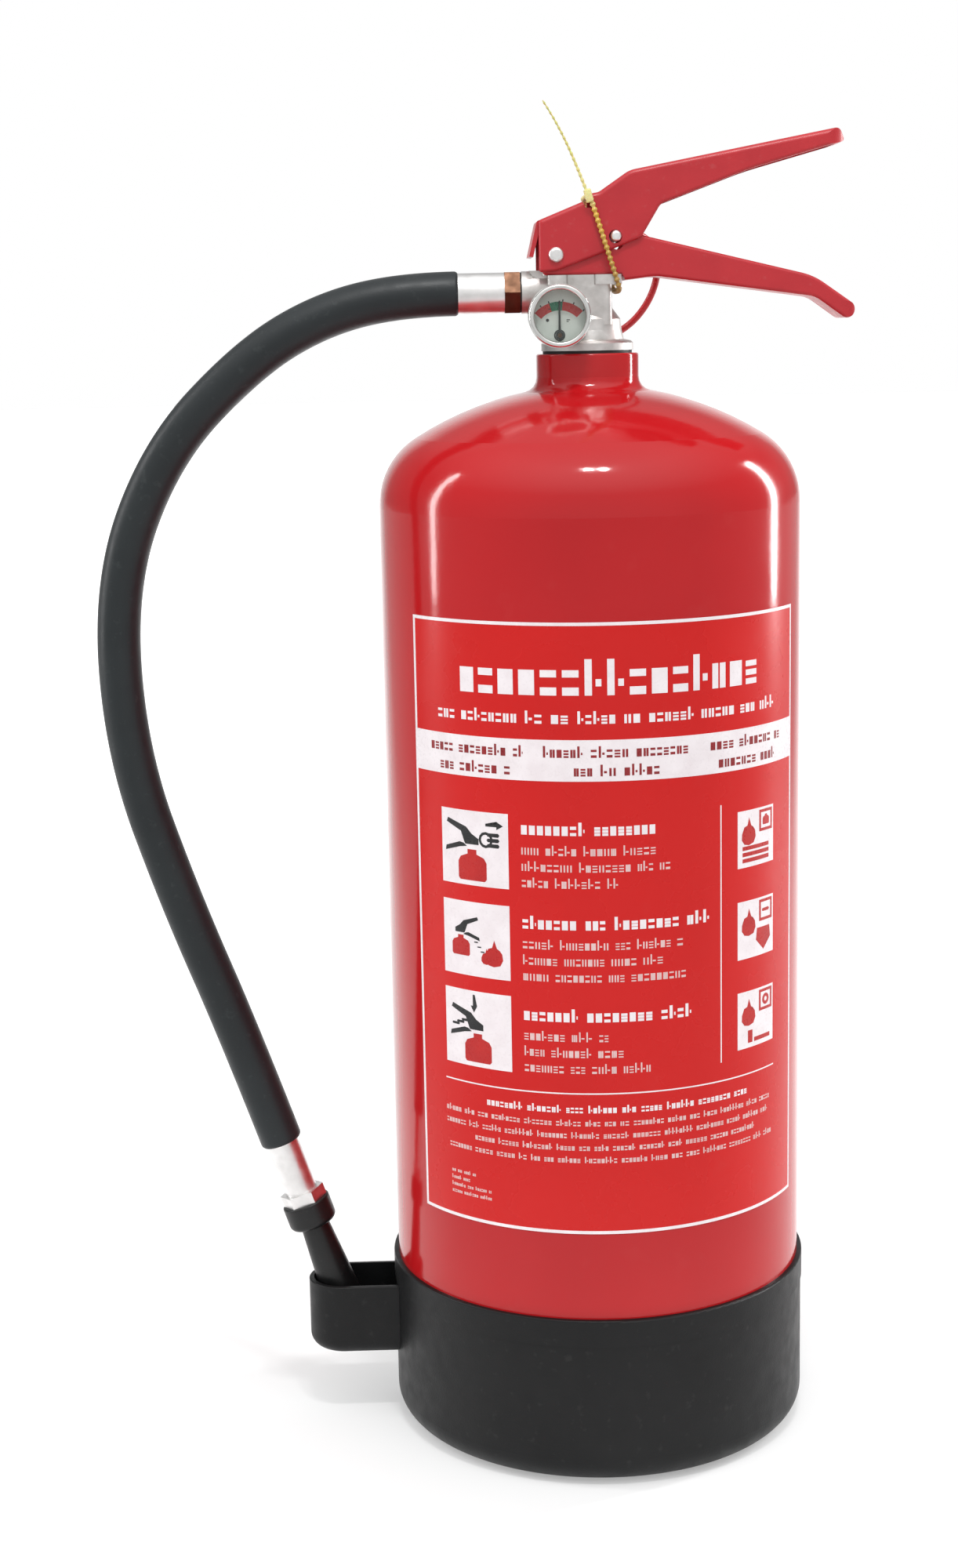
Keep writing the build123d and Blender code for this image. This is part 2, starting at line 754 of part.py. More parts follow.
needle_back = 24.4
with BuildPart() as gauge_needle:
    with BuildSketch(front(needle_back)):
        with Locations((gauge_x, gauge_z - needle_drop)):
            Circle(1.5)
    extrude(amount=0.9)
    with BuildSketch(front(needle_back + 0.2)):
        with BuildLine():
            Polyline(
                (gauge_x - 0.5, gauge_z - needle_drop - 2.2),
                (gauge_x + 0.5, gauge_z - needle_drop - 2.2),
                (gauge_x + 0.25, gauge_z - needle_drop + needle_length),
                (gauge_x - 0.25, gauge_z - needle_drop + needle_length),
                close=True,
            )
        make_face()
    extrude(amount=0.4)
    with BuildSketch(front(needle_back)):
        with Locations((gauge_x, gauge_z - needle_drop)):
            Circle(spindle_radius + running_gap)
    extrude(amount=2, mode=Mode.SUBTRACT)
keep(gauge_needle.part, "gauge_needle")

with BuildPart() as gauge_lens:
    with BuildSketch(front(lens_back)):
        with Locations((gauge_x, gauge_z)):
            Circle(gauge_radius - case_wall)
    extrude(amount=gauge_front - lens_back)
keep(gauge_lens.part, "gauge_lens")

with BuildPart() as gauge_bezel:
    with BuildSketch(front(gauge_front)):
        with Locations((gauge_x, gauge_z)):
            Circle(gauge_radius - 0.2)
            Circle(gauge_radius - 2.2, mode=Mode.SUBTRACT)
    extrude(amount=2.2)
    fillet(gauge_bezel.edges().group_by(Axis.Y)[0], 0.9)
keep(gauge_bezel.part, "gauge_bezel")

# ---- outlet and upper end of the hose ----
washer_thickness = 0.6
nut_start_x = outlet_end_x - washer_thickness
ferrule_start_x = nut_start_x - 5.8
nipple_end_x = ferrule_start_x - 5
with BuildPart() as outlet_nipple:
    with BuildSketch(outlet_plane(-19)):
        Circle(4.5)
    extrude(amount=-19 - nut_start_x)
    with BuildSketch(outlet_plane(nut_start_x)):
        Circle(6)
    extrude(amount=nut_start_x - nipple_end_x)
    with BuildSketch(outlet_plane(-19)):
        Circle(outlet_bore)
    extrude(amount=-19 - nipple_end_x, mode=Mode.SUBTRACT)
keep(outlet_nipple.part, "outlet_nipple")

with BuildPart() as outlet_washer:
    with BuildSketch(outlet_plane(outlet_end_x)):
        Circle(7.4)
        Circle(4.5, mode=Mode.SUBTRACT)
    extrude(amount=washer_thickness)
keep(outlet_washer.part, "outlet_washer")

with BuildPart() as hose_nut:
    with BuildSketch(outlet_plane(nut_start_x)):
        RegularPolygon(hose_nut_half, 6, major_radius=False)
    extrude(amount=nut_start_x - ferrule_start_x)
    with BuildSketch(outlet_plane(nut_start_x)):
        Circle(6)
    extrude(amount=10, mode=Mode.SUBTRACT)
keep(hose_nut.part, "hose_nut")

hose_start_x = hose_route[0][0]
with BuildPart() as hose_ferrule_upper:
    with BuildSketch(outlet_plane(ferrule_start_x)):
        Circle(upper_ferrule_radius)
    extrude(amount=ferrule_start_x - hose_start_x)
    with BuildSketch(outlet_plane(ferrule_start_x)):
        Circle(6)
    extrude(amount=ferrule_start_x - nipple_end_x, mode=Mode.SUBTRACT)
    with BuildSketch(outlet_plane(nipple_end_x)):
        Circle(outlet_bore)
    extrude(amount=nipple_end_x - hose_start_x, mode=Mode.SUBTRACT)
keep(hose_ferrule_upper.part, "hose_ferrule_upper")

# ---- hose: straight runs joined by the largest tangent arcs that fit ----
route = [Vector(x, 0, z) for x, z in hose_route]
runs = [after - before for before, after in zip(route, route[1:])]
radii = []
for before, after in zip(runs, runs[1:]):
    turn = before.get_angle(after)
    radii.append(0.45 * min(before.length, after.length) / tan(radians(turn / 2)))
    print(f"hose corner: turn {turn:.1f} degrees, radius {radii[-1]:.0f} mm")

with BuildPart() as hose:
    with BuildLine() as hose_path:
        FilletPolyline(*route, radius=radii)
    with BuildSketch(Plane(origin=route[0], z_dir=runs[0])):
        Circle(hose_radius)
    sweep()
hose_length = hose_path.wires()[0].length
expected = radians(180) * hose_radius**2 * hose_length
print(f"hose length {hose_length:.1f} mm, volume {hose.part.volume:.0f}, expected {expected:.0f}")
keep(hose.part, "hose")

# ---- nozzle: distances run down its axis from the end of the hose ----
collar_start = lower_ferrule_length + nozzle_nut_length
collar_end = collar_start + collar_length
spigot_end = collar_start + spigot_length
with BuildPart() as hose_ferrule_lower:
    with BuildSketch(nozzle_plane(0)):
        Circle(lower_ferrule_radius)
        Circle(outlet_bore, mode=Mode.SUBTRACT)
    extrude(amount=lower_ferrule_length)
keep(hose_ferrule_lower.part, "hose_ferrule_lower")

with BuildPart() as nozzle_nut:
    with BuildSketch(nozzle_plane(lower_ferrule_length)):
        RegularPolygon(nozzle_nut_half, 6, major_radius=False)
    extrude(amount=nozzle_nut_length)
    with BuildSketch(nozzle_plane(collar_start)):
        Circle(spigot_radius)
    extrude(amount=spigot_length)
    with BuildSketch(nozzle_plane(lower_ferrule_length)):
        Circle(outlet_bore)
    extrude(amount=nozzle_nut_length + spigot_length, mode=Mode.SUBTRACT)
keep(nozzle_nut.part, "nozzle_nut")

with BuildPart() as nozzle_collar:
    with BuildSketch(nozzle_plane(collar_start)):
        Circle(collar_radius)
    extrude(amount=collar_length)
    rims = nozzle_collar.edges().filter_by(GeomType.CIRCLE).sort_by(Axis.Z)
    fillet(rims[0], 2.5)
    fillet(rims[-1], 0.8)
    with BuildSketch(nozzle_plane(collar_start)):
        Circle(spigot_radius)
    extrude(amount=collar_length, mode=Mode.SUBTRACT)
keep(nozzle_collar.part, "nozzle_collar")

with BuildPart() as nozzle_barrel:
    with BuildSketch(nozzle_plane(spigot_end)):
        Circle(spigot_radius)
    extrude(amount=collar_length - spigot_length)
    with BuildSketch(nozzle_plane(collar_end)):
        Circle(barrel_root_radius)
    with BuildSketch(nozzle_plane(barrel_end)):
        Circle(barrel_mouth_radius)
    loft()
    with BuildSketch(nozzle_plane(spigot_end)):
        Circle(jet_radius)
    extrude(amount=collar_length - spigot_length, mode=Mode.SUBTRACT)
    with BuildSketch(nozzle_plane(collar_end)):
        Circle(jet_radius)
    with BuildSketch(nozzle_plane(barrel_end)):
        Circle(barrel_mouth_radius - barrel_wall)
    loft(mode=Mode.SUBTRACT)
keep(nozzle_barrel.part, "nozzle_barrel")

with BuildPart() as nozzle_jet:
    with BuildSketch(nozzle_plane(spigot_end)):
        Circle(jet_radius)
        Circle(jet_bore, mode=Mode.SUBTRACT)
    extrude(amount=collar_length - spigot_length)
keep(nozzle_jet.part, "nozzle_jet")
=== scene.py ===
import json
import math
import random

import bmesh
import bpy
from mathutils import Matrix, Vector


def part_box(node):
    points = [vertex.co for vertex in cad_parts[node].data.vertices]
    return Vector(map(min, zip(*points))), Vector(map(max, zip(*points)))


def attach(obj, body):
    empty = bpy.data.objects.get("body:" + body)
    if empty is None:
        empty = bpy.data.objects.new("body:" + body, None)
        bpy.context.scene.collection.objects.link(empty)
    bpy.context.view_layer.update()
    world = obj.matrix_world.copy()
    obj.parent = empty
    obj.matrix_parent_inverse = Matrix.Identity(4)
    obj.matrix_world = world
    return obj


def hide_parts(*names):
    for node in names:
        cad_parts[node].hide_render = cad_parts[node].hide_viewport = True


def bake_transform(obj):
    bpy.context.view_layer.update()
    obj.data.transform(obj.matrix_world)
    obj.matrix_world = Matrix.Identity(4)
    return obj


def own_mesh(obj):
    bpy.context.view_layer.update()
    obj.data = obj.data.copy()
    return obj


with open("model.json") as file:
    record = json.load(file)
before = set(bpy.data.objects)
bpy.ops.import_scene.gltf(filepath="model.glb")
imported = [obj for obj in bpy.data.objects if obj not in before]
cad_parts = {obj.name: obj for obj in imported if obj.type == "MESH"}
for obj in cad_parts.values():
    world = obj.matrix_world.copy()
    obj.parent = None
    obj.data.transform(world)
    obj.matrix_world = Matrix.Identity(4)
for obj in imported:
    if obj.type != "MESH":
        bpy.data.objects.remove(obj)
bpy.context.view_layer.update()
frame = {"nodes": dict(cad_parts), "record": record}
scene = bpy.context.scene
MM = 0.001


def linked(name, data):
    obj = bpy.data.objects.new(name, data)
    scene.collection.objects.link(obj)
    return obj


# ---- camera, slightly above the middle of the object and looking down at it ----
CAMERA_PLACE = (-0.0650, -0.9297, 0.4295)
look, down, roll = math.radians(1.29), math.radians(10.62), math.radians(-1.13)
forward = Vector(
    (math.sin(look) * math.cos(down), math.cos(look) * math.cos(down), -math.sin(down))
)
level = Vector((math.cos(look), -math.sin(look), 0))
above = level.cross(forward)
right = level * math.cos(roll) + above * math.sin(roll)
upward = above * math.cos(roll) - level * math.sin(roll)
lens = bpy.data.cameras.new("camera")
lens.lens = 55.78
lens.sensor_width = 36
camera = linked("camera", lens)
facing = Matrix((right, upward, -forward)).transposed().to_4x4()
camera.matrix_world = Matrix.Translation(CAMERA_PLACE) @ facing
scene.camera = camera
scene.view_settings.view_transform = "Standard"


# ---- lines and tubes ----
def spline_points(route, resolution):
    """Points of the smooth NURBS line that has these control points."""
    curve = bpy.data.curves.new("route", "CURVE")
    curve.dimensions = "3D"
    spline = curve.splines.new("NURBS")
    spline.points.add(len(route) - 1)
    for point, place in zip(spline.points, route):
        point.co = (*place, 1)
    spline.order_u = 3
    spline.use_endpoint_u = True
    spline.resolution_u = resolution
    holder = linked("route", curve)
    bpy.context.view_layer.update()
    line = bpy.data.meshes.new_from_object(holder)
    points = [vertex.co.copy() for vertex in line.vertices]
    bpy.data.objects.remove(holder)
    bpy.data.meshes.remove(line)
    bpy.data.curves.remove(curve)
    return points


def evenly(points, step):
    """The same line with points this far apart."""
    result = [points[0]]
    travelled = 0.0
    for start, end in zip(points, points[1:]):
        run = (end - start).length
        while run - travelled >= step:
            travelled += step
            result.append(start.lerp(end, travelled / run))
        travelled -= run
    if (points[-1] - result[-1]).length > step / 4:
        result.append(points[-1])
    return result


def smooth_mesh(name, bm, sharp=35):
    mesh = bpy.data.meshes.new(name)
    bm.to_mesh(mesh)
    bm.free()
    for face in mesh.polygons:
        face.use_smooth = True
    mesh.set_sharp_from_angle(angle=math.radians(sharp))
    return linked(name, mesh)


def tube_rings(bm, points, radius_at, sides):
    """Closed tube along the points. radius_at gives its radius at a distance along it."""
    side = Vector((0, 1, 0))
    distance = 0.0
    rings = []
    for index, point in enumerate(points):
        before = points[max(index - 1, 0)]
        after = points[min(index + 1, len(points) - 1)]
        along = (after - before).normalized()
        side = (side - along * side.dot(along)).normalized()
        other = along.cross(side)
        if index:
            distance += (point - before).length
        radius = radius_at(distance)
        ring = []
        for count in range(sides):
            turn = 2 * math.pi * count / sides
            offset = side * math.cos(turn) + other * math.sin(turn)
            ring.append(bm.verts.new(point + offset * radius))
        rings.append(ring)
    for ring, following in zip(rings, rings[1:]):
        for count in range(sides):
            beside = (count + 1) % sides
            bm.faces.new((ring[count], ring[beside], following[beside], following[count]))
    bm.faces.new(rings[0][::-1])
    bm.faces.new(rings[-1])


# ---- the hose, from the upper ferrule to the lower one ----
hose_radius = 8.25 * MM
END_ROUNDING, ROUNDED_LENGTH = 0.7 * MM, 1.2 * MM
hose_route = [
    Vector((x, 0, z)) * MM
    for x, z in (
        (-48.4, 442.4), (-70.0, 442.4), (-100.0, 435.6), (-128.0, 419.5), (-162.0, 385.5),
        (-182.0, 336.0), (-180.2, 270.0), (-161.5, 211.0), (-141.0, 157.6), (-125.6, 112.2),
    )
]
hose_line = spline_points(hose_route, 24)
hose_run = sum((b - a).length for a, b in zip(hose_line, hose_line[1:]))


def hose_radius_at(distance):
    """The hose's cut ends are slightly rounded."""
    edge = min(distance, hose_run - distance)
    return hose_radius - END_ROUNDING * max(0.0, 1 - edge / ROUNDED_LENGTH) ** 2


# The first and last steps are divided, so that the rounding of the ends shows
head = [hose_line[0].lerp(hose_line[1], part) for part in (0.0, 0.2, 0.4, 0.6, 0.8)]
tail = [hose_line[-2].lerp(hose_line[-1], part) for part in (0.2, 0.4, 0.6, 0.8, 1.0)]
bm = bmesh.new()
tube_rings(bm, head + hose_line[1:-1] + tail, hose_radius_at, 40)
hose = smooth_mesh("hose_cover", bm, 50)
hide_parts("hose")
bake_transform(hose)


# ---- finishes ----
class Finish:
    """A Principled material whose colour, roughness and relief vary in object space."""

    def __init__(self, name, **constants):
        self.material = bpy.data.materials.new(name)
        self.material.use_nodes = True
        self.nodes = self.material.node_tree.nodes
        self.links = self.material.node_tree.links
        self.bsdf = self.nodes["Principled BSDF"]
        self.place = self.nodes.new("ShaderNodeTexCoord").outputs["Object"]
        self.normal = None
        for socket, value in constants.items():
            self.bsdf.inputs[socket.replace("_", " ")].default_value = value

    def noise(self, scale, detail=3.0, stretch=None):
        vector = self.place
        if stretch:
            mapping = self.nodes.new("ShaderNodeMapping")
            mapping.inputs["Scale"].default_value = stretch
            self.links.new(self.place, mapping.inputs["Vector"])
            vector = mapping.outputs["Vector"]
        node = self.nodes.new("ShaderNodeTexNoise")
        node.inputs["Scale"].default_value = scale
        node.inputs["Detail"].default_value = detail
        self.links.new(vector, node.inputs["Vector"])
        return node.outputs["Fac"]

    def spread(self, value, low, high, start=0.3, stop=0.7):
        node = self.nodes.new("ShaderNodeMapRange")
        limits = {"From Min": start, "From Max": stop, "To Min": low, "To Max": high}
        for socket, number in limits.items():
            node.inputs[socket].default_value = number
        self.links.new(value, node.inputs["Value"])
        return node.outputs["Result"]

    def height(self, low, high):
        """0 to 1 between two heights above the floor, in metres."""
        split = self.nodes.new("ShaderNodeSeparateXYZ")
        self.links.new(self.place, split.inputs["Vector"])
        return self.spread(split.outputs["Z"], 0.0, 1.0, low, high)

    def ramp(self, value, stops):
        node = self.nodes.new("ShaderNodeValToRGB")
        elements = node.color_ramp.elements
        while len(elements) < len(stops):
            elements.new(0.5)
        for element, (position, colour) in zip(elements, stops):
            element.position = position
            element.color = (*colour, 1)
        self.links.new(value, node.inputs["Fac"])
        return node.outputs["Color"]

    def over(self, base, top, amount):
        """One colour over another, where amount is 1."""
        node = self.nodes.new("ShaderNodeMix")
        node.data_type = "RGBA"
        self.links.new(amount, node.inputs["Factor"])
        self.links.new(base, node.inputs["A"])
        self.links.new(top, node.inputs["B"])
        return node.outputs["Result"]

    def colour(self, output):
        self.links.new(output, self.bsdf.inputs["Base Color"])

    def gloss(self, value, low, high):
        self.links.new(self.spread(value, low, high), self.bsdf.inputs["Roughness"])

    def bump(self, value, distance):
        node = self.nodes.new("ShaderNodeBump")
        node.inputs["Distance"].default_value = distance
        self.links.new(value, node.inputs["Height"])
        if self.normal:
            self.links.new(self.normal, node.inputs["Normal"])
        self.normal = node.outputs["Normal"]
        self.links.new(self.normal, self.bsdf.inputs["Normal"])


def dusted(
    name, dark, light, patch, gloss, grain, relief, dust=None, dust_amount=0.0, **constants
):
    """Coated or moulded surface: patchy tone, uneven gloss, a fine grain and a little dust."""
    finish = Finish(name, **constants)
    base = finish.ramp(finish.noise(patch, 4.0), ((0.35, dark), (0.65, light)))
    if dust:
        speck = finish.spread(finish.noise(patch * 9, 6.0), 0.0, dust_amount, 0.62, 0.74)
        base = finish.over(base, finish.ramp(finish.noise(90), ((0.0, dust), (1.0, dust))), speck)
    finish.colour(base)
    finish.gloss(finish.noise(patch * 5, 5.0), *gloss)
    finish.bump(finish.noise(grain, 2.0), relief)
    return finish


def plated(name, dark, light, gloss, lines, relief):
    """Bare or plated metal with fine tool lines that run round Z and uneven tarnish."""
    finish = Finish(name, Metallic=1.0)
    finish.colour(finish.ramp(finish.noise(160, 5.0), ((0.3, dark), (0.7, light))))
    finish.gloss(finish.noise(240, 5.0), *gloss)
    finish.bump(finish.noise(1.0, 4.0, stretch=lines), relief)
    return finish


tank_paint = dusted(
    "tank_paint", (0.44, 0.007, 0.010), (0.50, 0.011, 0.014), 7, (0.10, 0.16), 420, 0.00002,
    (0.50, 0.06, 0.055), 0.08, Coat_Weight=0.12, Coat_Roughness=0.04, Specular_IOR_Level=0.34,
)
tank_paint.bump(tank_paint.noise(2600, 2.0), 0.000004)
handle_paint = dusted(
    "handle_paint", (0.43, 0.014, 0.022), (0.50, 0.020, 0.028), 40, (0.32, 0.44), 900, 0.00002,
    (0.46, 0.12, 0.12), 0.2, Coat_Weight=0.1, Coat_Roughness=0.3, Specular_IOR_Level=0.42,
)
ring_coat = dusted(
    "ring_coat", (0.42, 0.012, 0.018), (0.52, 0.02, 0.025), 60, (0.2, 0.32), 1500, 0.00001,
    (0.6, 0.2, 0.18), 0.3,
)
cap_plastic = dusted(
    "cap_plastic", (0.0058, 0.0061, 0.0065), (0.0080, 0.0083, 0.0087), 30, (0.38, 0.50), 1400,
    0.00005, (0.045, 0.045, 0.043), 0.2, Specular_IOR_Level=0.24,
)
nozzle_plastic = dusted(
    "nozzle_plastic", (0.0055, 0.0057, 0.0060), (0.0085, 0.0088, 0.0090), 60, (0.30, 0.42), 1600,
    0.00002, (0.05, 0.05, 0.05), 0.25, Specular_IOR_Level=0.38,
)
hose_rubber = dusted(
    "hose_rubber", (0.0085, 0.0120, 0.0138), (0.012, 0.0165, 0.0185), 34, (0.38, 0.5), 1100,
    0.00004, (0.06, 0.07, 0.07), 0.2, Specular_IOR_Level=0.4, Sheen_Weight=0.08, Sheen_Roughness=0.4,
)
label_film = dusted(
    "label_film", (0.57, 0.008, 0.007), (0.62, 0.010, 0.009), 9, (0.22, 0.32), 700, 0.00001,
    (0.54, 0.07, 0.06), 0.06, Coat_Weight=0.08, Coat_Roughness=0.15, Specular_IOR_Level=0.28,
)
valve_plate = plated(
    "valve_plate", (0.52, 0.50, 0.48), (0.76, 0.74, 0.72), (0.38, 0.52), (300, 300, 420), 0.00010,
)
valve_plate.bump(valve_plate.noise(900, 3.0), 0.00004)
steel_plate = plated(
    "steel_plate", (0.78, 0.77, 0.76), (0.93, 0.92, 0.91), (0.28, 0.42), (60, 60, 2600), 0.000008,
)
gauge_metal = plated(
    "gauge_metal", (0.60, 0.60, 0.58), (0.80, 0.80, 0.78), (0.10, 0.22), (400, 400, 400), 0.000006,
)
brass = plated(
    "brass", (0.07, 0.036, 0.022), (0.13, 0.068, 0.042), (0.34, 0.50), (60, 60, 2400), 0.00001,
)
spring_steel = plated(
    "spring_steel", (0.40, 0.40, 0.40), (0.58, 0.58, 0.57), (0.25, 0.4), (900, 900, 900), 0.000006,
)
powder = dusted(
    "powder", (0.62, 0.66, 0.60), (0.76, 0.79, 0.73), 60, (0.85, 0.95), 3000, 0.0002,
)
tube_plastic = dusted(
    "tube_plastic", (0.70, 0.70, 0.64), (0.80, 0.80, 0.75), 30, (0.3, 0.45), 900, 0.00002,
)
seal_rubber = dusted(
    "seal_rubber", (0.012, 0.012, 0.012), (0.022, 0.022, 0.022), 60, (0.5, 0.65), 1800, 0.00004,
)
needle_metal = dusted(
    "needle_metal", (0.008, 0.008, 0.009), (0.018, 0.018, 0.018), 200, (0.35, 0.5), 3000, 0.000004,
)
dial_print = dusted(
    "dial_print", (0.60, 0.66, 0.60), (0.68, 0.73, 0.67), 120, (0.40, 0.52), 2500, 0.000004,
)
lens_glass = dusted(
    "lens", (0.18, 0.22, 0.20), (0.24, 0.28, 0.26), 90, (0.04, 0.12), 800, 0.000004, Alpha=0.08,
)
STRAP_LOW, STRAP_HIGH = 0.4425, 0.5110
strap_plastic = Finish("strap_plastic", Subsurface_Weight=0.25, Subsurface_Scale=0.002)
# Colour by height: painted shade darkens the yellow loop towards its bottom, where it wraps round
# the valve under the handles; the tail above the lock is a greener yellow.
strap_colour_and_shade = strap_plastic.ramp(
    strap_plastic.height(STRAP_LOW, STRAP_HIGH),
    (
        (0.0, (0.32, 0.20, 0.05)), (0.22, (0.52, 0.31, 0.04)), (0.42, (0.64, 0.40, 0.04)),
        (0.48, (0.84, 0.78, 0.36)), (0.70, (0.62, 0.62, 0.20)), (1.0, (0.52, 0.55, 0.18)),
    ),
)
strap_spots = strap_plastic.ramp(
    strap_plastic.noise(500), ((0.0, (0.30, 0.22, 0.06)), (1.0, (0.7, 0.6, 0.2)))
)
strap_patches = strap_plastic.spread(strap_plastic.noise(350, 4), 0.0, 0.3)
strap_plastic.colour(strap_plastic.over(strap_colour_and_shade, strap_spots, strap_patches))
strap_plastic.gloss(strap_plastic.noise(400), 0.25, 0.45)
strap_plastic.bump(strap_plastic.noise(2200), 0.00002)


def ink(name, dark, light):
    """Printed ink: nearly even, with the slight mottle of a printed film."""
    return dusted(name, dark, light, 150, (0.24, 0.36), 1500, 0.000004)


white_ink = ink("white_ink", (0.82, 0.75, 0.77), (0.88, 0.82, 0.84))
soft_white_ink = ink("soft_white_ink", (0.70, 0.47, 0.46), (0.78, 0.55, 0.54))
dark_red_ink = ink("dark_red_ink", (0.22, 0.012, 0.016), (0.30, 0.018, 0.022))
red_ink = ink("red_ink", (0.44, 0.008, 0.008), (0.50, 0.012, 0.010))
black_ink = ink("black_ink", (0.012, 0.012, 0.013), (0.022, 0.022, 0.023))
green_ink = ink("green_ink", (0.010, 0.13, 0.065), (0.016, 0.18, 0.09))

finishes = {
    "tank_paint": tank_paint, "handle_paint": handle_paint, "ring_coat": ring_coat,
    "cap_plastic": cap_plastic, "nozzle_plastic": nozzle_plastic, "label_film": label_film,
    "powder": powder, "tube_plastic": tube_plastic, "valve_plate": valve_plate,
    "steel_plate": steel_plate, "gauge_metal": gauge_metal, "brass": brass,
    "spring_steel": spring_steel, "seal_rubber": seal_rubber, "hose_rubber": hose_rubber,
    "strap_plastic": strap_plastic, "dial_print": dial_print, "needle_metal": needle_metal,
    "lens": lens_glass,
}
for subpart in frame["record"]["subparts"]:
    surface = frame["nodes"][subpart["node"]]
    for material_slot in surface.material_slots:
        material_slot.material = finishes[subpart["material_slot"]].material
hose.data.materials.append(hose_rubber.material)


# ---- printed layers: flat shapes in millimetres, wrapped on a surface and given a thickness ----
SUNK = 0.03


def rectangle(u0, u1, v0, v1):
    return [(u0, v0), (u1, v0), (u1, v1), (u0, v1)]


def border(u0, u1, v0, v1, width):
    return [
        rectangle(u0, u1, v0, v0 + width), rectangle(u0, u1, v1 - width, v1),
        rectangle(u0, u0 + width, v0 + width, v1 - width),
        rectangle(u1 - width, u1, v0 + width, v1 - width),
    ]


def sector(u, v, inner, outer, start, stop, step=6):
    """Part of a ring, in degrees clockwise from straight up, as a strip of four-sided pieces."""
    pieces = max(1, round((stop - start) / step))
    turns = [math.radians(start + (stop - start) * n / pieces) for n in range(pieces + 1)]
    shapes = []
    for a, b in zip(turns, turns[1:]):
        corners = [(inner, a), (outer, a), (outer, b)] + ([(inner, b)] if inner else [])
        shapes.append([(u + r * math.sin(t), v + r * math.cos(t)) for r, t in corners])
    return shapes


def placed(shape, u, v, size=1.0, flip=1):
    return [(u + x * size * flip, v + y * size) for x, y in shape]


def printed(name, shapes, place, lift, finish, cell=2.5):
    """One printed colour. Long shapes are cut every cell, so that they follow the surface."""
    bm = bmesh.new()
    for shape in shapes:
        bm.faces.new([bm.verts.new((u, v, 0)) for u, v in shape])
    bmesh.ops.triangulate(bm, faces=bm.faces[:])
    across = [vertex.co.x for vertex in bm.verts]
    cut = math.floor(min(across) / cell) * cell + cell
    while cut < max(across):
        geometry = bm.verts[:] + bm.edges[:] + bm.faces[:]
        bmesh.ops.bisect_plane(bm, geom=geometry, plane_co=(cut, 0, 0), plane_no=(1, 0, 0))
        cut += cell
    flat = bm.verts[:]
    raised = bmesh.ops.extrude_face_region(bm, geom=bm.faces[:], use_keep_orig=True)["geom"]
    for vertex in [part for part in raised if isinstance(part, bmesh.types.BMVert)]:
        vertex.co = place(vertex.co.x, vertex.co.y, lift)
    for vertex in flat:
        vertex.co = place(vertex.co.x, vertex.co.y, -SUNK)
    bmesh.ops.recalc_face_normals(bm, faces=bm.faces[:])
    piece = smooth_mesh(name, bm)
    piece.data.materials.append(finish.material)
    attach(piece, "extinguisher")
    return piece


# ---- the label's print. Wording is greeked: abstract strokes that spell nothing ----
rng = random.Random(11)
label_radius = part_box("tank_body")[1].x / MM + 0.2


def on_label(u, v, lift):
    turn = u / label_radius
    reach = (label_radius + lift) * MM
    return Vector((reach * math.sin(turn), -reach * math.cos(turn), v * MM))


def arc(degrees):
    """Distance round the label from the tank's front, for an angle from it."""
    return math.radians(degrees) * label_radius


def stroke_letter(u, v, width, height, weight):
    """One abstract character in a cell: upright strokes or stacked dashes, never a real letter."""
    mid = height * 0.7
    thick = weight * height
    end = u + width
    kind = rng.randrange(5)
    if kind == 0:
        return [rectangle(u, u + thick, v, v + mid), rectangle(end - thick, end, v, v + mid)]
    if kind == 1:
        dash = rectangle(u + 1.5 * thick, end, v + mid / 2 - thick / 2, v + mid / 2 + thick / 2)
        return [rectangle(u, u + thick, v, v + height), dash]
    if kind == 2:
        rows = [(mid - thick) * part for part in (0.0, 0.5, 1.0)]
        return [rectangle(u, end, v + row, v + row + thick * 0.8) for row in rows]
    if kind == 3:
        gap = (width - thick) / 2
        return [rectangle(u + n * gap, u + n * gap + thick, v, v + mid) for n in range(3)]
    return [rectangle(u, end, v, v + mid * 0.32), rectangle(u, end, v + mid - thick, v + mid)]


def word(u0, u1, v, height, weight):
    pitch = 0.62 * height
    count = max(1, round((u1 - u0) / pitch))
    pitch = (u1 - u0) / count
    shapes = []
    for index in range(count):
        shapes += stroke_letter(u0 + index * pitch, v, pitch * 0.74, height, weight)
    return shapes


def words(start, stop, v, height, weight=0.17):
    """A line of words between two angles."""
    u, end = arc(start), arc(stop)
    shapes = []
    while end - u > 0.6 * height:
        width = min(rng.uniform(1.4, 5.2) * height, end - u)
        if end - u - width < 1.2 * height:
            width = end - u
        shapes += word(u, u + width, v, height, weight)
        u += width + 0.55 * height
    return shapes


# Label layout: distances in millimetres, starts and stops in degrees round the tank
LEFT, RIGHT, BOTTOM, TOP = arc(-58), arc(64), 100.0, 327.0
EDGE_LINE = 1.2
BAND_LOW, BAND_HIGH = 270, 285
white = border(LEFT, RIGHT, BOTTOM, TOP, EDGE_LINE)
white.append(rectangle(LEFT + EDGE_LINE, RIGHT - EDGE_LINE, BAND_LOW, BAND_HIGH))
TITLE_Z, TITLE_HEIGHT = 301.0, 13.0
SUBTITLE_Z, SUBTITLE_HEIGHT = 290.8, 4.6
BOLD = 0.2
white += word(arc(-40), arc(46), TITLE_Z, TITLE_HEIGHT, BOLD)
white += words(-48, 53, SUBTITLE_Z, SUBTITLE_HEIGHT, BOLD)
PICTURE_LEFT, PICTURE_RIGHT = arc(-47.5), arc(-26.3)
pictures = ((257.3, 229.5), (223.2, 195.2), (189.5, 160.6))
PANEL_LEFT, PANEL_RIGHT = arc(37.3), arc(52.6)
panels = ((254.3, 233.0), (220.3, 198.4), (185.8, 164.0))
for high, low in pictures:
    white.append(rectangle(PICTURE_LEFT, PICTURE_RIGHT, low, high))
